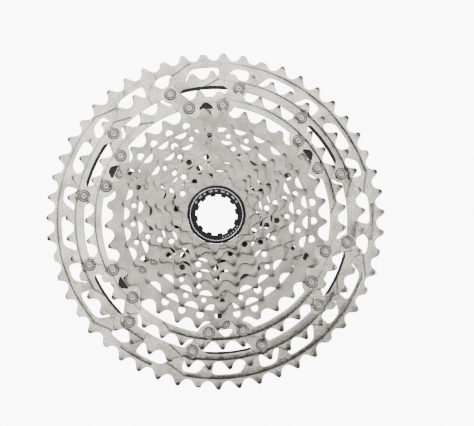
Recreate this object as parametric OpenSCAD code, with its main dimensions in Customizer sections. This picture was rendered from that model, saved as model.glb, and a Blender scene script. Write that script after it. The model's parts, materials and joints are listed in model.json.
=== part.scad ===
// Eleven-speed bicycle cassette, 11 to 51 teeth, lying on its largest sprocket.
// Axis along +Z, back face of the largest sprocket at z = 0, lockring on top.
// Angles are clock angles: clockwise from +Y, seen from above.

/* [Chain and stack] */
// Chain pitch
pitch = 12.7; // [12.6:0.05:12.8]
// Distance from one sprocket to the next along the axis
step = 3.9; // [3.7:0.05:4.0]
// Thickness of a sprocket plate
plate = 1.8; // [1.6:0.05:1.8]
// Radius of the roller seat between two teeth
seat_r = 3.97; // [3.9:0.01:4.1]
// Height of a tooth above the pitch circle
tooth_rise = 1.35; // [1.0:0.05:1.6]

/* [Freehub interface] */
// Radius of the splined bore between its keys
bore_r = 17.45; // [17.4:0.05:17.6]
// Radius at the tips of the spline keys
key_tip_r = 16.2; // [16.0:0.05:16.6]
// Width of one spline key
key_w = 2.8; // [2.4:0.1:2.9]
// Radius of the plain pilot at the back of the large carrier
pilot_r = 18.1; // [18:0.05:18.4]
// Length of the plain pilot
pilot_len = 3; // [2:0.5:4]

/* [Raised steps] */
// Height of the raised step on the faces of the three largest sprockets
relief = 0.4; // [0.2:0.05:0.4]

/* [Rivets] */
// Radius of a large rivet head
head_r = 3.35; // [3:0.05:3.5]
// Height of a large rivet head
head_h = 0.6; // [0.4:0.1:0.8]
// Radius of a large rivet's shank
shank_r = 1.9; // [1.7:0.1:2.0]
// Radius of a small rivet head
small_head_r = 2.3; // [2.1:0.1:2.4]
// Radius of a small rivet's shank
small_shank_r = 1.4; // [1.2:0.1:1.5]
// Gap between a shank and its hole
rivet_gap = 0.05; // [0.03:0.01:0.08]
// Radius of the circle of rivets that join the two largest sprockets
outer_rivet_r = 82.2; // [82:0.1:82.4]
// Radius of the circle of paired rivets
inner_rivet_r = 70.1; // [70:0.1:70.3]
// Half the angle between the two rivets of a pair
pair_half = 8.5; // [8.3:0.1:8.6]

/* [Carriers] */
// Half the width of an arm of the large carrier
arm_half = 4.4; // [4:0.1:4.6]
// Half the width of a wide arm of the small carrier
wide_half = 8.8; // [8.4:0.1:9]
// Half the width of a narrow arm of the small carrier
narrow_half = 4; // [3.6:0.1:4.4]

/* [Lockring] */
// Radius of the flange
flange_r = 17.4; // [17:0.1:17.6]
// Thickness of the flange
flange_h = 1.5; // [1.3:0.1:1.7]
// Outer radius of the threaded sleeve
thread_r = 15.2; // [15.1:0.05:15.3]
// Length of the threaded sleeve below the flange
thread_len = 5.2; // [4.8:0.1:5.6]
// Radius of the tool socket between its lugs
socket_r = 12.5; // [12.3:0.1:12.7]
// Radius at the tips of the socket lugs
lug_r = 11.3; // [11.1:0.1:11.6]
// Thickness of the washer under the flange
washer_h = 0.4; // [0.3:0.1:0.5]

/* [Hidden] */
$fn = 96;

// Colours
STEEL = [0.72, 0.70, 0.67];
BLACK = [0.06, 0.06, 0.07];

// Number of a sprocket in the stack, from the back, and the heights that follow from it
function back(k) = step * k;
function face(k) = step * k + plate;

// Clock angle of one tooth of each sprocket
PHASE_51 = 2.7;
PHASE_45 = 6.7;
PHASE_39 = 1.8;
PHASE_33 = 4.6;
PHASE_28 = 9.2;
PHASE_24 = 0.2;
PHASE_21 = 8.9;
PHASE_18 = 1.6;
PHASE_15 = 16.6;
PHASE_13 = 12;
PHASE_11 = 20;

// Clock angle of the first arm of each carrier
ARM = -5;
WIDE_ARM = 31.6;
NARROW_ARM = 94;

// Radial bands of the plates
RING_51 = 83.4;
RING_45 = 80.8;
PAIR_WINDOW = 82.7;
RING_39 = 69.9;
RING_33 = 56;
RING_28 = 47.5;
RING_24 = 38.3;
RING_21 = 33.8;
RING_18 = 28;
HUB_R = 21.5;
SLEEVE_R = 20.6;

// Radii of the rivets on the arms of the large carrier, and of their heads
ARM_HEAD = 2.6;
ARM_RIVET_39 = 64.6;
ARM_RIVET_33 = 54.5;
ARM_RIVET_28 = 46.1;
// Radii of the rivets on the wide arms of the small carrier
ARM_RIVET_21 = 35;
ARM_RIVET_18 = 28.2;

// Point at radius r and clock angle a
function pol(r, a) = [r * sin(a), r * cos(a)];
// Angle in degrees of an arc length w at radius r
function arc_deg(w, r) = w / r * 180 / PI;
function unit(v) = v / norm(v);
function pitch_r(n) = pitch / 2 / sin(180 / n);

// Quadratic blend round the corner b, starting d from it on both sides
function corner(a, b, c, d) =
    d == 0 ? [b] : [for (k = [0 : 3]) let (t = k / 3)
        (1 - t) * (1 - t) * (b + d * unit(a - b)) + 2 * t * (1 - t) * b
        + t * t * (b + d * unit(c - b))];

// The same closed outline, always counter-clockwise
function ccw(p) =
    let (n = len(p), twice = [for (i = [0 : n - 1]) cross(p[i], p[(i + 1) % n])] * [for (q = p) 1])
    twice < 0 ? [for (i = [n - 1 : -1 : 0]) p[i]] : p;

module outline(p) { polygon(ccw(p)); }

// Closed outline through pts with the corner blends of ds
function soft(pts, ds) = [for (i = [0 : len(pts) - 1])
    each corner(pts[(i + len(pts) - 1) % len(pts)], pts[i], pts[(i + 1) % len(pts)], ds[i])];
function soft_all(pts, d) = soft(pts, [for (p = pts) d]);

// Points along an arc of radius r, from angle a0 to a1
function arc(r, a0, a1, n = 8) = [for (i = [0 : n]) pol(r, a0 + (a1 - a0) * i / n)];

// How much lower than the full height tooth i is, from a list of [index, drop]
function drop(i, period, drops) = max([0, for (d = drops) i % period == d[0] ? d[1] : 0]);

// One valley: the roller seat, then the round tip of the next tooth, which leans back a little
function valley(n, phase, i, tip) =
    let (rp = pitch_r(n), a = phase + 360 / n * (i + 0.5), reach = 63 - 160 / n,
         out = pol(1, a), across = pol(1, a + 90), lean = 0.35,
         neck = tip - 0.65, half = 1.45 + 0.58 * (rp + 0.45 - neck),
         ta = phase + 360 / n * (i + 1) - arc_deg(lean, tip))
    concat([for (k = [-3 : 3]) let (t = k / 3 * reach)
                rp * out - seat_r * cos(t) * out + seat_r * sin(t) * across],
           [for (q = [[neck, -1], [tip - 0.18, -0.68], [tip, -0.25], [tip, 0.25],
                      [tip - 0.18, 0.68], [neck, 1]])
                pol(q[0], ta + arc_deg(half * q[1], tip))]);

function teeth(n, phase, period, drops) =
    [for (i = [0 : n - 1])
        each valley(n, phase, i, pitch_r(n) + tooth_rise - drop(i + 1, period, drops))];

// Toothed disc
module toothed(n, phase, period = 1, drops = []) {
    outline(teeth(n, phase, period, drops));
}

// Splined bore, with keys that point inwards
module spline_bore() {
    difference() {
        circle(bore_r);
        for (i = [0 : 8])
            rotate(-40 * i) translate([-key_w / 2, key_tip_r])
                square([key_w, bore_r]);
    }
}

// Places its children at radius r and at each clock angle of the list
module at(r, angles) {
    for (a = angles) rotate(-a) translate([0, r]) children();
}

function every(n, first) = [for (i = [0 : n - 1]) first + 360 / n * i];
function pairs() = [for (a = every(6, ARM)) each [a - pair_half, a + pair_half]];
function wide_pairs(half) = [for (a = every(3, WIDE_ARM)) each [a - half, a + half]];

// Tab that reaches inwards from a ring, tapering from half width w1 at r1 to w0 at r0
module tab(r0, w0, r1, w1) {
    outline(soft([[-w1, r1], [-w0, r0], [w0, r0], [w1, r1]], [0, 1.5, 1.5, 0]));
}

// Straight bar between two points, given by radius and angle
module strap(r0, a0, r1, a1, w) {
    p = pol(r0, a0);
    q = pol(r1, a1);
    side = unit([(q - p)[1], -(q - p)[0]]) * w / 2;
    outline([p + side, q + side, q - side, p - side]);
}

// Window of the largest sprocket: round outer edge, leaning sides
module ring_window(a0, a1, lean0, lean1) {
    r1 = 94.9;
    r0 = 87.4;
    outline(soft(concat([pol(r0, a0 - lean0)], arc(r1, a0, a1, 3), [pol(r0, a1 - lean1)]),
                 [1.7, 3.1, 0, 0, 3.1, 1.7]));
}

// Raised arc of a step. Each end falls away inwards along points of [turn, depth].
module step_arc(r0, r1, a0, a1, fall) {
    n = ceil((a1 - a0) / 4);
    last = len(fall) - 1;
    end = last < 0 ? 0 : fall[last][0];
    outline(concat([for (i = [last : -1 : 0]) pol(r1 - fall[i][1], a0 - fall[i][0])],
                   arc(r1, a0, a1, n),
                   [for (f = fall) pol(r1 - f[1], a1 + f[0])],
                   arc(r0 - 0.2, a1 + end, a0 - end, n)));
}

module step_arcs(r0, r1, spans, fall) {
    for (s = spans) step_arc(r0, r1, s[0], s[1], is_long(s) ? fall : []);
}

function is_long(s) = s[1] - s[0] > 20;

// Narrow groove beside both ends of each long step
module step_grooves(r1, spans, fall) {
    path = concat([[0, 0]], fall);
    for (s = spans) if (is_long(s)) {
        outline(concat([for (f = path) pol(r1 - f[1] + 0.06, s[1] + f[0] + 0.04)],
                       [for (i = [len(path) - 1 : -1 : 0])
                        pol(r1 - path[i][1] + 0.7, s[1] + path[i][0] + 0.35)]));
        outline(concat([for (f = path) pol(r1 - f[1] + 0.06, s[0] - f[0] - 0.04)],
                       [for (i = [len(path) - 1 : -1 : 0])
                        pol(r1 - path[i][1] + 0.7, s[0] - path[i][0] - 0.35)]));
    }
}

// Raised step of plate number k, given as the child. Its outer edge at radius r1 is a slope.
module raised(k, r1) {
    translate([0, 0, back(k) + LOW]) difference() {
        linear_extrude(relief) children();
        rotate_extrude() outline([[r1 - 1.2, relief + 0.01], [r1 + 0.1, 0.02], [r1 + 3, 0.02],
                                  [r1 + 3, relief + 1], [r1 - 1.2, relief + 1]]);
    }
}

// Cuts of the given depth into the face of plate number k, whose face is at t
module engraved(k, t, depth) {
    translate([0, 0, back(k) + t - depth]) linear_extrude(depth + 1) children();
}

// Narrow seat round the head of each rivet
module head_seats(r, angles, head) {
    at(r, angles) difference() {
        circle(head + 0.25);
        circle(head - 0.2);
    }
}

module plate_at(k, t = plate) {
    translate([0, 0, back(k)]) linear_extrude(t) children();
}

// Toothed plate number k with n teeth: its faces slope in towards the tips of the teeth
module cut_plate(n, k, t = plate) {
    root = pitch_r(n) - 0.6;
    tip = pitch_r(n) + tooth_rise + 0.5;
    difference() {
        plate_at(k, t) children();
        translate([0, 0, back(k)]) rotate_extrude()
            outline([[root, t + 0.02], [tip, t - 0.75], [tip, t + 1], [root, t + 1]]);
        translate([0, 0, back(k)]) rotate_extrude()
            outline([[root, -0.02], [root, -1], [tip, -1], [tip, 0.4]]);
    }
}

// Round hole with a pointed outer end
module drop_hole(w, h) {
    outline(soft([[-w / 2, -h / 2], [-w / 2, h * 0.1], [0, h / 2], [w / 2, h * 0.1],
                  [w / 2, -h / 2]], [0.7, 0.9, 0.7, 0.9, 0.7]));
}

// ---- Sprockets, from the largest to the smallest ----

LOW = plate - relief;

// Cuts the openings of a plate out of the outer shape given as its child
module body_51() {
    difference() {
        union() {
            difference() {
                children();
                circle(RING_51);
            }
            at(outer_rivet_r, every(12, 10)) circle(5);
        }
        for (i = [0 : 11]) {
            rotate(-30 * i) ring_window(-9.6, 1.6, 3.2, 1);
            rotate(-30 * i) ring_window(6.8, 13, 3.2, 0.4);
        }
        at(outer_rivet_r, every(12, 10)) circle(shank_r + rivet_gap);
    }
}

module sprocket_51t() {
    spans = [[-9, 71], [84, 97], [111, 190], [204, 217], [231, 309], [324, 337]];
    fall = [[1.2, 0.5], [5, 3.6], [9, 5.6], [11, 12]];
    color(STEEL) {
        difference() {
            cut_plate(51, 0, LOW) body_51() toothed(51, PHASE_51, 17,
                [[2, 2.2], [16, 1.3], [14, 1.2], [9, 1], [1, 0.9], [0, 0.6]]);
            engraved(0, LOW, 0.45) step_grooves(97.9, spans, fall);
        }
        raised(0, 97.9) body_51() step_arcs(RING_51, 97.9, spans, fall);
    }
}

module body_45() {
    difference() {
        union() {
            difference() {
                children();
                circle(RING_45);
                for (a = every(6, ARM)) rotate(-a)
                    outline(soft([pol(78, -9.8), pol(80.4, -11.6), pol(PAIR_WINDOW, -9.4),
                                  pol(PAIR_WINDOW, -3), pol(PAIR_WINDOW, 3),
                                  pol(PAIR_WINDOW, 8.6), pol(80.4, 10.9), pol(78, 9.2)],
                                 [0, 1, 1.5, 0, 0, 1.5, 1, 0]));
            }
            at(outer_rivet_r, every(12, 10)) circle(5.4);
            at(inner_rivet_r, pairs()) circle(4.8);
            for (a = every(6, ARM)) for (s = [-1, 1])
                strap(outer_rivet_r, a + 15 * s, inner_rivet_r, a + pair_half * s, 9);
        }
        at(outer_rivet_r, every(12, 10)) circle(shank_r + rivet_gap);
        at(inner_rivet_r, pairs()) circle(shank_r + rivet_gap);
    }
}

module sprocket_45t() {
    spans = [[1.5, 73], [91, 98], [121.5, 193], [211, 218], [241.5, 313], [331, 338]];
    fall = [[0.8, 0.3], [3.5, 2.8], [7, 5]];
    color(STEEL) difference() {
        union() {
            difference() {
                cut_plate(45, 1, LOW) body_45()
                    toothed(45, PHASE_45, 15, [[0, 1.6], [13, 1], [9, 0.8]]);
                engraved(1, LOW, 0.45) step_grooves(86.5, spans, fall);
            }
            raised(1, 86.5) body_45() step_arcs(RING_45, 86.5, spans, fall);
        }
        engraved(1, LOW, 0.2) head_seats(outer_rivet_r, every(12, 10), head_r);
    }
}

module body_39() {
    difference() {
        union() {
            difference() {
                children();
                circle(RING_39);
            }
            for (a = every(6, ARM)) rotate(-a)
                outline(soft([pol(72.4, -15.2), [-15.2, 65.2], [-8.8, 62.6], [-6.9, 60.6],
                              [6.9, 60.6], [8.8, 62.6], [15.2, 65.2], pol(72.4, 15.2),
                              pol(72.4, 0)], [0, 1.5, 1.5, 1.2, 1.2, 1.5, 1.5, 0, 0]));
        }
        for (a = [-5, 55, 175, 235, 295]) rotate(-a)
            outline(soft([[-4.2, 67.9], [-3.9, 69.2], [-1.3, 71.9], [1.3, 71.9], [3.9, 69.2],
                          [4.2, 67.9]], [0.4, 0.8, 0.9, 0.9, 0.8, 0.4]));
        at(inner_rivet_r, pairs()) circle(shank_r + rivet_gap);
        at(ARM_RIVET_39, every(6, ARM)) circle(shank_r + rivet_gap);
    }
}

module sprocket_39t() {
    spans = [[5, 81], [125, 201], [245, 321]];
    fall = [[0.8, 0.3], [3, 2.2], [6, 3.8]];
    color(STEEL) difference() {
        union() {
            difference() {
                cut_plate(39, 2, LOW) body_39() toothed(39, PHASE_39, 13, [[0, 1.5], [11, 0.9]]);
                engraved(2, LOW, 0.45) step_grooves(74.2, spans, fall);
            }
            raised(2, 74.2) body_39() step_arcs(RING_39, 74.2, spans, fall);
        }
        engraved(2, LOW, 0.2) {
            head_seats(inner_rivet_r, pairs(), head_r);
            head_seats(ARM_RIVET_39, every(6, ARM), ARM_HEAD);
        }
    }
}

module sprocket_33t() {
    holes = [for (i = [7, 8, 9, 10, 14, 15, 16, 17, 18, 19, 27, 28, 29, 30, 31])
             PHASE_33 - 0.6 + 360 / 33 * i];
    color(STEEL) cut_plate(33, 3) difference() {
        union() {
            difference() {
                toothed(33, PHASE_33, 11, [[3, 1.2]]);
                circle(RING_33);
            }
            for (a = every(6, ARM)) rotate(-a) tab(51, 5, 57, 7);
        }
        at(60.1, holes) drop_hole(4.3, 3.8);
        at(ARM_RIVET_33, every(6, ARM)) circle(shank_r + rivet_gap);
    }
}

module sprocket_28t() {
    small = [for (q = [0 : 3]) for (i = [25, 26, 27, 28, 29])
             if (i > 25 || q > 3) PHASE_28 - 0.7 + 360 / 28 * (i + 7 * q)];
    large = [for (q = [0 : 3]) PHASE_28 - 0.7 + 360 / 28 * (25 + 7 * q)];
    color(STEEL) cut_plate(28, 4) difference() {
        union() {
            difference() {
                toothed(28, PHASE_28, 7, [[2, 1]]);
                circle(RING_28);
            }
            for (a = every(6, ARM)) rotate(-a) tab(42.8, 4.6, 48.5, 6.5);
        }
        at(50.6, small) circle(1.45);
        at(50.4, large) circle(2.2);
        at(ARM_RIVET_28, every(6, ARM)) circle(shank_r + rivet_gap);
    }
}

module sprocket_24t() {
    holes = [for (a = every(3, 0)) each [a + 14.1, a + 74.1, a + 89.1]];
    color(STEEL) cut_plate(24, 5) difference() {
        union() {
            difference() {
                toothed(24, PHASE_24, 8, [[4, 0.8]]);
                circle(RING_24);
            }
            for (a = every(3, WIDE_ARM)) rotate(-a) tab(32, 8.8, 39.5, 11);
        }
        at(43.1, holes) circle(1.4);
        at(ARM_RIVET_21, wide_pairs(10)) circle(small_shank_r + rivet_gap);
    }
}

module sprocket_21t() {
    holes = [for (q = [0 : 2]) for (i = [3, 4, 5, 6, 7])
             if (i < 7 || q < 2) PHASE_21 - 1 + 360 / 21 * (i + 7 * q)];
    color(STEEL) cut_plate(21, 6) difference() {
        union() {
            difference() {
                toothed(21, PHASE_21, 7, [[1, 0.8]]);
                circle(RING_21);
            }
            for (a = every(3, WIDE_ARM)) rotate(-a) tab(30.8, 8.8, 35, 10);
        }
        at(36.8, holes) circle(1.6);
        at(ARM_RIVET_21, wide_pairs(10)) circle(small_shank_r + rivet_gap);
    }
}

module sprocket_18t() {
    holes = [for (q = [0 : 2]) for (i = [3, 4, 5, 6])
             if (i < 6 || q < 2) PHASE_18 - 1.1 + 20 * (i + 6 * q)];
    color(STEEL) cut_plate(18, 7) difference() {
        union() {
            difference() {
                toothed(18, PHASE_18, 6, [[1, 0.8]]);
                circle(RING_18);
            }
            for (a = every(3, WIDE_ARM)) rotate(-a) tab(25.6, 8, 29.4, 9);
        }
        at(30.9, holes) circle(1.6);
        at(ARM_RIVET_18, every(3, WIDE_ARM + 9)) circle(small_shank_r + rivet_gap);
    }
}

module sprocket_15t() {
    holes = [for (i = [2, 3, 4, 5, 6, 10, 11, 12, 13, 14]) PHASE_15 - 1.2 + 24 * i];
    color(STEEL) cut_plate(15, 8) difference() {
        toothed(15, PHASE_15);
        spline_bore();
        at(24.2, holes) circle(1.6);
    }
}

// This sprocket has a boss in place of a spacer
module sprocket_13t() {
    color(STEEL) {
        cut_plate(13, 9) difference() {
            toothed(13, PHASE_13);
            spline_bore();
        }
        translate([0, 0, face(9)]) linear_extrude(step - plate) difference() {
            circle(SLEEVE_R - 0.2);
            spline_bore();
        }
    }
}

module sprocket_11t() {
    color(STEEL) cut_plate(11, 10) difference() {
        toothed(11, PHASE_11);
        spline_bore();
    }
}

// ---- Carriers and spacers ----

// Arm whose side view is the outline given, in radius and height
module arm(a, half, side) {
    rotate(90 - a) translate([0, half, 0]) rotate([90, 0, 0])
        linear_extrude(2 * half) outline(side);
}

// Arm of the large carrier: narrow near the hub
module large_arm(a, side) {
    slim = 2.6;
    intersection() {
        arm(a, arm_half, side);
        rotate(-a) linear_extrude(60)
            outline([[-slim, 19], [-slim, 41], [-arm_half, 44.5], [-arm_half, 80],
                     [arm_half, 80], [arm_half, 44.5], [slim, 41], [slim, 19]]);
    }
}

module large_carrier() {
    underside = 1;
    color(BLACK) difference() {
        union() {
            cylinder(r = HUB_R, h = face(4));
            for (i = [0 : 5]) {
                end = i == 3 ? 67.3 : 75.6;
                large_arm(ARM + 60 * i,
                    [[19.5, underside], [58, underside], [end, back(1) + 0.5],
                     [end, back(2)], [60.2, back(2)], [60.2, back(3)], [50.6, back(3)],
                     [50.6, back(4)], [19.5, back(4)]]);
            }
        }
        translate([0, 0, -1]) linear_extrude(face(4) + 2) spline_bore();
        translate([0, 0, -1]) cylinder(r = pilot_r, h = pilot_len + 1);
        // Pocket under each arm
        for (i = [0 : 5])
            arm(ARM + 60 * i, arm_half - 1.8,
                [[45.5, -1], [59, -1], [57, back(2) - 2], [45.5, back(3) - 3]]);
        arm_rivet_holes();
    }
}

module arm_rivet_holes() {
    for (r = [ARM_RIVET_39, ARM_RIVET_33, ARM_RIVET_28])
        at(r, every(6, ARM)) translate([0, 0, -1]) cylinder(r = shank_r + rivet_gap, h = 40);
}

module small_carrier() {
    side = function(foot, edge) [[19, foot], [40.3, face(5)], [40.3, back(6)], [edge, back(6)],
                                 [edge, back(7)], [19, back(7)]];
    color(BLACK) difference() {
        union() {
            translate([0, 0, back(5)]) cylinder(r = SLEEVE_R, h = face(7) - back(5));
            for (i = [0 : 2]) {
                arm(NARROW_ARM + 120 * i, narrow_half, side(face(5), RING_21 - 0.4));
                arm(WIDE_ARM + 120 * i, wide_half, side(face(5), 30.5));
            }
        }
        translate([0, 0, back(5) - 1]) linear_extrude(40) spline_bore();
        translate([0, 0, back(5)]) {
            at(ARM_RIVET_21, wide_pairs(10)) cylinder(r = small_shank_r + rivet_gap, h = 20);
            at(ARM_RIVET_18, every(3, WIDE_ARM + 9))
                cylinder(r = small_shank_r + rivet_gap, h = 20);
        }
    }
}

// Ring between the two largest sprockets, cut back between its rivet bosses
module spacer_ring_45_51() {
    color(BLACK) translate([0, 0, face(0)]) linear_extrude(step - plate) difference() {
        union() {
            difference() {
                circle(86);
                circle(81.1);
            }
            at(outer_rivet_r, every(12, 10)) circle(4.6);
        }
        at(outer_rivet_r, every(12, 10)) circle(shank_r + rivet_gap);
    }
}

module plain_spacer(z) {
    color(BLACK) translate([0, 0, z]) linear_extrude(step - plate) difference() {
        circle(SLEEVE_R);
        spline_bore();
    }
}

module spacer_carriers() { plain_spacer(face(4)); }
module spacer_15_18() { plain_spacer(face(7)); }
module spacer_13_15() { plain_spacer(face(8)); }

// ---- Rivets ----

// Rivet from z0 to z1 with a grooved head on top and, if asked for, a plain one below
module rivet(z0, z1, head, shank, tail) {
    rise = head_h;
    translate([0, 0, z0]) cylinder(r = shank, h = z1 - z0);
    translate([0, 0, z1]) rotate_extrude() outline(
        [[0, 0], [head, 0], [head, rise * 0.35], [head - 0.15, rise * 0.7],
         [head - 0.45, rise * 0.95], [head * 0.77, rise], [head * 0.71, rise * 0.35],
         [head * 0.59, rise * 0.35], [head * 0.54, rise], [0.5, rise * 0.92],
         [0.35, rise * 0.55], [0, rise * 0.5]]);
    if (tail > 0) translate([0, 0, z0 - tail]) cylinder(r = head * 0.85, h = tail);
}

module outer_rivets() {
    color(STEEL) at(outer_rivet_r, every(12, 10)) rivet(0.2, face(1), head_r, shank_r, 0);
}

module pair_rivets() {
    color(STEEL) at(inner_rivet_r, pairs()) rivet(back(1), face(2), head_r, shank_r, 0.6);
}

module pair_collars() {
    color(BLACK) at(inner_rivet_r, pairs()) translate([0, 0, face(1)])
        linear_extrude(step - plate) difference() {
            circle(4.2);
            circle(shank_r + rivet_gap);
        }
}

module carrier_rivets(r, z0, z1) {
    color(STEEL) at(r, every(6, ARM)) rivet(z0, z1, ARM_HEAD, shank_r, 0);
}

module carrier_rivets_39t() { carrier_rivets(ARM_RIVET_39, back(1) + 1.5, face(2)); }
module carrier_rivets_33t() { carrier_rivets(ARM_RIVET_33, back(2), face(3)); }
module carrier_rivets_28t() { carrier_rivets(ARM_RIVET_28, back(3), face(4)); }

module small_carrier_rivets() {
    color(STEEL) at(ARM_RIVET_21, wide_pairs(10))
        rivet(back(5), face(6), small_head_r, small_shank_r, 0.5);
}

module top_rivets_18t() {
    color(STEEL) at(ARM_RIVET_18, every(3, WIDE_ARM + 9))
        rivet(back(6) - 1, face(7), small_head_r, small_shank_r, 0);
}

// ---- Lockring ----

module lockring_washer() {
    color(STEEL) translate([0, 0, face(10)]) difference() {
        cylinder(r = flange_r - 0.3, h = washer_h);
        translate([0, 0, -1]) cylinder(r = thread_r + 0.65, h = washer_h + 2);
    }
}

module lockring() {
    seat = face(10) + washer_h;
    top = seat + flange_h;
    color(BLACK) difference() {
        translate([0, 0, 0]) rotate_extrude() outline(
            [[0, seat - thread_len], [thread_r, seat - thread_len], [thread_r, seat],
             [flange_r, seat], [flange_r, top - 0.6], [flange_r - 0.7, top - 0.1],
             [flange_r - 1.2, top], [15.9, top], [15.8, top - 0.1], [0, top - 0.1]]);
        translate([0, 0, seat - thread_len - 1]) linear_extrude(thread_len + flange_h + 2)
            difference() {
                circle(socket_r);
                for (i = [0 : 11]) rotate(-(-9.7 + 30 * i)) translate([-1.5, lug_r])
                    square([3, socket_r]);
            }
    }
}

sprocket_51t();
sprocket_45t();
sprocket_39t();
sprocket_33t();
sprocket_28t();
sprocket_24t();
sprocket_21t();
sprocket_18t();
sprocket_15t();
sprocket_13t();
sprocket_11t();
large_carrier();
small_carrier();
spacer_ring_45_51();
spacer_carriers();
spacer_15_18();
spacer_13_15();
outer_rivets();
pair_rivets();
pair_collars();
carrier_rivets_39t();
carrier_rivets_33t();
carrier_rivets_28t();
small_carrier_rivets();
top_rivets_18t();
lockring_washer();
lockring();
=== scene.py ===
import json
import math

import bmesh
import bpy
from mathutils import Matrix, Vector


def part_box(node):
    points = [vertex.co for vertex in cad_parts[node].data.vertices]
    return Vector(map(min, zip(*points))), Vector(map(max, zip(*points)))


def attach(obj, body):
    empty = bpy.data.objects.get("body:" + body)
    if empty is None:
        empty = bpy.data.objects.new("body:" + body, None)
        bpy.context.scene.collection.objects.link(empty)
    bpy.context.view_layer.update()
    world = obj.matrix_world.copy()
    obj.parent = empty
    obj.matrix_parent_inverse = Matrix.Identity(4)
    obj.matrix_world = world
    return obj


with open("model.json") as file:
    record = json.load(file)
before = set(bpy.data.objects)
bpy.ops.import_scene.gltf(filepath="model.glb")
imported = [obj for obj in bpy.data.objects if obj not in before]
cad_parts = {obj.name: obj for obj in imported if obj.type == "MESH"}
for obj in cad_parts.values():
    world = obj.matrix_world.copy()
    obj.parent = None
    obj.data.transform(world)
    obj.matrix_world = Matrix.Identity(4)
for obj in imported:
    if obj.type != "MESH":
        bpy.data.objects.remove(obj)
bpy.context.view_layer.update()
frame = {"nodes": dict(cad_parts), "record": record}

MM = 0.001
NODES = frame["nodes"]


# ---------------------------------------------------------------- helpers

def clock(radius, angle, z=0.0):
    """Point at a radius and clock angle (degrees clockwise from +Y), in mm, as metres."""
    a = math.radians(angle)
    return Vector((radius * math.sin(a), radius * math.cos(a), z)) * MM


def new_object(name, mesh, material, body):
    """Object that carries a material and moves with a body."""
    obj = bpy.data.objects.new(name, mesh)
    bpy.context.scene.collection.objects.link(obj)
    obj.data.materials.append(material)
    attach(obj, body)
    return obj


def lathe(name, profile, material, body, steps=96):
    """Surface of revolution about the axis; profile is a closed list of (r, z) in mm."""
    sharp_from = math.radians(35)
    bm = bmesh.new()
    rings = []
    for i in range(steps):
        a = 2 * math.pi * i / steps
        rings.append([bm.verts.new(Vector((r * math.cos(a), r * math.sin(a), z)) * MM)
                      for r, z in profile])
    n = len(profile)
    for i in range(steps):
        a, b = rings[i], rings[(i + 1) % steps]
        for k in range(n):
            bm.faces.new((a[k], b[k], b[(k + 1) % n], a[(k + 1) % n]))
    bmesh.ops.recalc_face_normals(bm, faces=bm.faces)
    mesh = bpy.data.meshes.new(name)
    bm.to_mesh(mesh)
    bm.free()
    for p in mesh.polygons:
        p.use_smooth = True
    obj = new_object(name, mesh, material, body)
    split = obj.modifiers.new("edges", "EDGE_SPLIT")
    split.split_angle = sharp_from
    return obj


def set_ramp(color_ramp, stops):
    """Gives a colour ramp its stops, a list of (position, colour) from low to high."""
    while len(color_ramp.elements) < len(stops):
        color_ramp.elements.new(0.5)
    for element, (position, colour) in zip(color_ramp.elements, stops):
        element.position = position
        element.color = (*colour, 1.0)


def grey(level):
    return (level, level, level)


# ---------------------------------------------------------------- materials

# Scales of the noise layers. Object coordinates are in metres, so 700 is a pattern about 1.4 mm coarse
WEAR_SCALE = 210.0
MOTTLE_SCALE = 700.0
SPECKLE_SCALE = 2600.0
GRAIN_SCALE = 5200.0
DUST_SCALE = 140.0
BLAST_SCALE = 3800.0
# Length in metres that one radian counts for in the turned grain, so the grain runs round the axis
GRAIN_ARC = 0.004
# How far the painted corner shade reaches, the depth of the relief and the rounding of coated edges, in
# metres
CORNER_REACH = 0.0018
METAL_RELIEF = 0.00008
COATING_RELIEF = 0.00003
COATING_EDGE = 0.0003
SHADER_SAMPLES = 6


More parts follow.
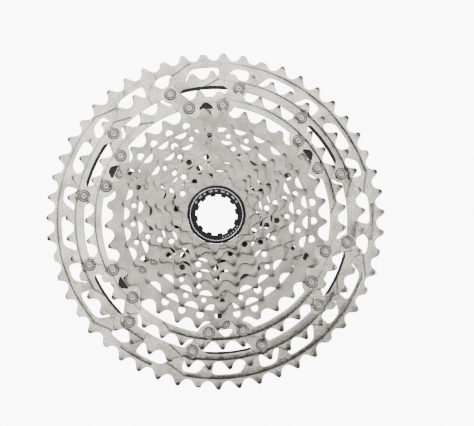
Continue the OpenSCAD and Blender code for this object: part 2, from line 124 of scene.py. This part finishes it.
class Nodes:
    """Small helper that builds a node tree."""

    def __init__(self, name):
        self.mat = bpy.data.materials.new(name)
        self.mat.use_nodes = True
        self.tree = self.mat.node_tree
        self.bsdf = self.tree.nodes["Principled BSDF"]

    def add(self, kind, **values):
        node = self.tree.nodes.new(kind)
        for key, value in values.items():
            setattr(node, key, value)
        return node

    def link(self, a, b):
        self.tree.links.new(a, b)

    def set(self, socket, value):
        self.bsdf.inputs[socket].default_value = value

    def math(self, operation, a, b=None, c=None):
        node = self.add("ShaderNodeMath", operation=operation)
        for i, value in enumerate((a, b, c)):
            if value is None:
                continue
            if hasattr(value, "links"):
                self.link(value, node.inputs[i])
            else:
                node.inputs[i].default_value = value
        return node.outputs[0]

    def noise(self, vector, scale, detail=2.0, rough=0.5):
        node = self.add("ShaderNodeTexNoise")
        node.inputs["Scale"].default_value = scale
        node.inputs["Detail"].default_value = detail
        node.inputs["Roughness"].default_value = rough
        self.link(vector, node.inputs["Vector"])
        return node.outputs["Fac"]

    def ramp(self, fac, stops):
        node = self.add("ShaderNodeValToRGB")
        set_ramp(node.color_ramp, stops)
        self.link(fac, node.inputs["Fac"])
        return node.outputs["Color"]

    def position(self):
        """Position in the object's own frame, in metres."""
        return self.add("ShaderNodeTexCoord").outputs["Object"]

    def polar(self, coord):
        """Vector of (radius, angle, height), for marks that run round the axis."""
        split = self.add("ShaderNodeSeparateXYZ")
        self.link(coord, split.inputs[0])
        x, y, z = split.outputs
        radius = self.math("SQRT", self.math("ADD", self.math("MULTIPLY", x, x),
                                             self.math("MULTIPLY", y, y)))
        angle = self.math("ARCTAN2", y, x)
        join = self.add("ShaderNodeCombineXYZ")
        self.link(radius, join.inputs[0])
        self.link(self.math("MULTIPLY", angle, GRAIN_ARC), join.inputs[1])
        self.link(z, join.inputs[2])
        return join.outputs[0]

    def paint_corner_shade(self, colour, floor_value):
        """Paints shade into a colour: darkens it in narrow inside corners and close to neighbouring parts.
        """
        node = self.add("ShaderNodeAmbientOcclusion")
        node.samples = SHADER_SAMPLES
        node.inputs["Distance"].default_value = CORNER_REACH
        fac = self.math("MULTIPLY_ADD", node.outputs["AO"], 1.0 - floor_value, floor_value)
        mix = self.add("ShaderNodeVectorMath", operation="SCALE")
        self.link(colour, mix.inputs[0])
        self.link(fac, mix.inputs["Scale"])
        return mix.outputs[0]

    def bump(self, height, strength, distance, edge):
        """Fine surface relief, on faces whose edges are rounded to the radius given."""
        node = self.add("ShaderNodeBump")
        rounded = self.add("ShaderNodeBevel")
        rounded.samples = SHADER_SAMPLES
        rounded.inputs["Radius"].default_value = edge
        self.link(rounded.outputs["Normal"], node.inputs["Normal"])
        node.inputs["Strength"].default_value = strength
        node.inputs["Distance"].default_value = distance
        self.link(height, node.inputs["Height"])
        self.link(node.outputs["Normal"], self.bsdf.inputs["Normal"])


def metal(name, dark, light, rough, grain=0.25, cloud=60.0, corner_shade=0.15, edge=0.0008):
    """Plated metal: cloudy tone, fine turned grain, small pits and worn, smoother patches, with painted
    shade in its inside corners.
    """
    n = Nodes(name)
    coord = n.position()
    polar = n.polar(coord)
    clouds = n.noise(coord, cloud, detail=3.0)
    speckle = n.noise(coord, SPECKLE_SCALE)
    mottle = n.noise(coord, MOTTLE_SCALE, detail=3.0, rough=0.6)
    turned = n.noise(polar, GRAIN_SCALE, detail=3.0, rough=0.6)
    tone = n.math("ADD", n.math("MULTIPLY", clouds, 0.45),
                  n.math("ADD", n.math("MULTIPLY", turned, 0.3), n.math("MULTIPLY", mottle, 0.25)))
    colour = n.ramp(tone, [(0.36, dark), (0.6, light)])
    # The base colour is darkened in inside corners and gaps: painted shade, not dirt
    n.link(n.paint_corner_shade(colour, corner_shade), n.bsdf.inputs["Base Color"])
    n.set("Metallic", 1.0)
    # Wear moves the roughness up to 0.11 either side of the value given, and speckle adds up to 0.08
    wear = n.math("MULTIPLY_ADD", n.noise(coord, WEAR_SCALE, detail=4.0), 0.22, rough - 0.11)
    n.link(n.math("ADD", wear, n.math("MULTIPLY", speckle, 0.08)), n.bsdf.inputs["Roughness"])
    relief = n.math("ADD", n.math("MULTIPLY", turned, 0.35), n.math("MULTIPLY", speckle, 0.25))
    n.bump(n.math("ADD", relief, n.math("MULTIPLY", mottle, 0.9)), grain, METAL_RELIEF, edge)
    return n.mat


def coated(name, dark, light, rough, metallic=0.0, specular=0.5):
    """Anodised, painted or printed surface: finely blasted, with slightly dusty patches."""
    n = Nodes(name)
    coord = n.position()
    dust = n.noise(coord, DUST_SCALE, detail=4.0)
    blasted = n.noise(coord, BLAST_SCALE)
    n.link(n.ramp(dust, [(0.35, dark), (0.75, light)]), n.bsdf.inputs["Base Color"])
    n.set("Metallic", metallic)
    n.set("Specular IOR Level", specular)
    n.link(n.math("MULTIPLY_ADD", dust, 0.2, rough - 0.1), n.bsdf.inputs["Roughness"])
    n.bump(blasted, 0.35, COATING_RELIEF, COATING_EDGE)
    return n.mat


# The corner setting of each finish is how dark its painted shade in inside corners gets; lower is darker
NICKEL = metal("satin_nickel", (0.29, 0.265, 0.22), (0.80, 0.75, 0.67), rough=0.17,
               grain=0.8, cloud=60.0, corner_shade=0.08, edge=0.0006)
MATT_NICKEL = metal("matt_nickel", (0.26, 0.235, 0.20), (0.60, 0.56, 0.495), rough=0.28,
                    grain=0.45, cloud=90.0, corner_shade=0.6, edge=0.0005)
RIVET = metal("rivet_steel", (0.52, 0.50, 0.48), (0.74, 0.72, 0.70), rough=0.32,
              grain=0.3, cloud=120.0)
WASHER = metal("bright_washer", (0.74, 0.74, 0.73), (0.9, 0.9, 0.89), rough=0.22)
ANODISED = coated("black_anodised", (0.012, 0.012, 0.014), (0.03, 0.03, 0.034), rough=0.42,
                  metallic=0.3)
BLACK_STEEL = coated("black_steel", (0.007, 0.007, 0.009), (0.016, 0.016, 0.019), rough=0.42,
                     specular=0.22)
MARK = coated("pale_print", (0.5, 0.5, 0.5), (0.66, 0.66, 0.65), rough=0.5)

LOOK = {
    "nickel_steel": NICKEL,
    "rivet_steel": RIVET,
    "washer_steel": WASHER,
    "black_aluminium": ANODISED,
    "black_steel": BLACK_STEEL,
}
SLOT_OF = {s["node"]: s["material_slot"] for s in frame["record"]["subparts"]}

# Sprockets with fewer teeth than this have the matt finish
MATT_BELOW = 36
# Rounding of the edges and welding distance, in mm
SPROCKET_EDGE = 0.18
OTHER_EDGE = 0.12
WELD_WITHIN = 0.002
BEVEL_FROM = math.radians(38)


def finish_node(name):
    """Rounds the sharp edges of a CAD node and gives it its finish."""
    obj = NODES[name]
    # The node of a sprocket is called sprocket_ and its count of teeth in two digits
    is_sprocket = name.startswith("sprocket")
    matt = is_sprocket and int(name[9:11]) < MATT_BELOW
    for slot in obj.material_slots:
        slot.material = MATT_NICKEL if matt else LOOK[SLOT_OF[name]]
    weld = obj.modifiers.new("weld", "WELD")
    weld.merge_threshold = WELD_WITHIN * MM
    bevel = obj.modifiers.new("edges", "BEVEL")
    bevel.width = (SPROCKET_EDGE if is_sprocket else OTHER_EDGE) * MM
    bevel.segments = 2
    bevel.limit_method = "ANGLE"
    bevel.angle_limit = BEVEL_FROM
    bevel.use_clamp_overlap = True
    bevel.harden_normals = False
    weighted = obj.modifiers.new("normals", "WEIGHTED_NORMAL")
    weighted.keep_sharp = True
    for p in obj.data.polygons:
        p.use_smooth = True


for node_name in NODES:
    finish_node(node_name)


# ---------------------------------------------------------------- lockring marks

# In mm: the face lies this far below the lockring's top, and the ink stands just above the face
FACE_RECESS = 0.1
PRINT_LIFT = 0.02
INK_THICKNESS = 0.02
LOCK_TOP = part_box("lockring")[1].z / MM
FACE_TOP = LOCK_TOP - FACE_RECESS


def arc_marks(name, radius, width, spans):
    """Thin printed dashes on the lockring's face: spans is a list of (from, to) clock angles."""
    z = FACE_TOP + PRINT_LIFT
    bm = bmesh.new()
    for a0, a1 in spans:
        steps = max(2, int((a1 - a0) / 2))
        rows = []
        for i in range(steps + 1):
            a = a0 + (a1 - a0) * i / steps
            rows.append([bm.verts.new(clock(radius - width / 2, a, z)),
                         bm.verts.new(clock(radius + width / 2, a, z))])
        for p, q in zip(rows, rows[1:]):
            bm.faces.new((p[0], q[0], q[1], p[1]))
    bmesh.ops.recalc_face_normals(bm, faces=bm.faces)
    mesh = bpy.data.meshes.new(name)
    bm.to_mesh(mesh)
    bm.free()
    obj = new_object(name, mesh, MARK, "lockring")
    solid = obj.modifiers.new("ink", "SOLIDIFY")
    solid.thickness = INK_THICKNESS * MM
    solid.offset = 0.0


def row_of_spans(start, step, lengths, count):
    """Spans at equal steps, in degrees; the lengths are used in turn."""
    return [(start + step * i, start + step * i + lengths[i % len(lengths)]) for i in range(count)]


arc_marks("generic_dashes_upper", 14.1, 1.1, row_of_spans(-62, 14.5, (6.0, 9.5), 9))
arc_marks("generic_ticks_lower", 14.2, 0.8, row_of_spans(118, 7.5, (3.6,), 7))

# A bright ring that stands in the recess, with its top just below the lockring's top
RING_FOOT = FACE_TOP - 0.02
RING_TOP = LOCK_TOP - 0.01
ring = lathe("lockring_bright_edge",
             [(15.38, RING_FOOT), (15.86, RING_FOOT), (15.84, RING_TOP), (15.46, RING_TOP)],
             WASHER, "lockring")


# ---------------------------------------------------------------- floor, light and camera

FLOOR_HALF = 3.0
FLOOR_GAP = 0.0003
FLOOR_GLOW = 9.0


def floor():
    """Pale glowing floor just below the part. Reflections don't show it, so edges stay dark."""
    h = FLOOR_HALF
    mesh = bpy.data.meshes.new("floor")
    mesh.from_pydata([(-h, -h, 0), (h, -h, 0), (h, h, 0), (-h, h, 0)], [], [(0, 1, 2, 3)])
    obj = bpy.data.objects.new("floor", mesh)
    bpy.context.scene.collection.objects.link(obj)
    n = Nodes("pale_floor")
    patches = n.noise(n.position(), 6.0)
    n.link(n.ramp(patches, [(0.3, grey(0.93)), (0.7, grey(0.95))]), n.bsdf.inputs["Base Color"])
    n.set("Roughness", 0.9)
    n.set("Specular IOR Level", 0.1)
    n.set("Emission Color", (1.0, 1.0, 1.0, 1.0))
    n.set("Emission Strength", FLOOR_GLOW)
    mesh.materials.append(n.mat)
    obj.location.z = -FLOOR_GAP
    obj.visible_glossy = False


def area(name, place, target, size, power):
    """Square area lamp that looks at a target: places and size in metres, power in watts."""
    light = bpy.data.lights.new(name, "AREA")
    light.shape = "SQUARE"
    light.size = size
    light.energy = power
    obj = bpy.data.objects.new(name, light)
    obj.location = place
    obj.rotation_mode = "QUATERNION"
    obj.rotation_quaternion = (Vector(target) - Vector(place)).to_track_quat("-Z", "Y")
    bpy.context.scene.collection.objects.link(obj)


floor()
area("key", (-0.26, 0.50, 2.10), (0, 0, 0), size=1.35, power=16)
area("rim", (-1.3, 1.6, 0.5), (0, 0, 0.02), size=1.0, power=16)
area("fill", (1.5, -0.8, 1.6), (0, 0, 0), size=0.8, power=3)
area("back", (-0.25, 1.45, 1.55), (0, 0, 0), size=0.7, power=8)
area("low_fill", (-1.2, -1.1, 1.5), (0, 0, 0), size=1.0, power=3)
area("right_rim", (1.25, -0.15, 1.5), (0, 0, 0.02), size=0.6, power=5)

# Light low walls all round and a dark band above them, so that edges stay dark seen from above
WALL_STOPS = [(0.0, grey(0.8)), (0.34, grey(0.8)), (0.50, grey(0.05)), (1.0, grey(0.07))]
world = bpy.data.worlds.new("studio")
world.use_nodes = True
background = world.node_tree.nodes["Background"]
background.inputs["Strength"].default_value = 1.0
sky = world.node_tree.nodes.new("ShaderNodeTexCoord")
height = world.node_tree.nodes.new("ShaderNodeSeparateXYZ")
walls = world.node_tree.nodes.new("ShaderNodeValToRGB")
set_ramp(walls.color_ramp, WALL_STOPS)
world.node_tree.links.new(sky.outputs["Generated"], height.inputs[0])
world.node_tree.links.new(height.outputs["Z"], walls.inputs["Fac"])
world.node_tree.links.new(walls.outputs["Color"], background.inputs["Color"])
bpy.context.scene.world = world

# The camera stands almost on the axis, a little towards -Y and -X, at DISTANCE metres from the
# origin. It is turned away from the origin by AIM_YAW and AIM_PITCH, so that the origin shows
# left of the middle of the picture and a little below it.
TILT = math.radians(4.558)
SWING = math.radians(-0.6)
DISTANCE = 1.2573
AIM_YAW = math.radians(-0.597395)
AIM_PITCH = math.radians(-0.199596)
LENS_MM = 154.7848
SENSOR_MM = 36.0

back = Vector((math.sin(SWING) * math.cos(TILT), -math.sin(TILT), math.cos(SWING) * math.cos(TILT)))
back.normalize()
right = Vector((0, 1, 0)).cross(back).normalized()
up = back.cross(right)
forward = Matrix.Rotation(AIM_YAW, 3, up) @ -back
right = Matrix.Rotation(AIM_YAW, 3, up) @ right
forward = Matrix.Rotation(-AIM_PITCH, 3, right) @ forward
up = Matrix.Rotation(-AIM_PITCH, 3, right) @ up

camera = bpy.data.cameras.new("camera")
camera.sensor_width = SENSOR_MM
camera.lens = LENS_MM
camera_obj = bpy.data.objects.new("camera", camera)
basis = Matrix((right, up, -forward)).transposed().to_4x4()
basis.translation = back * DISTANCE
camera_obj.matrix_world = basis
bpy.context.scene.collection.objects.link(camera_obj)
bpy.context.scene.camera = camera_obj
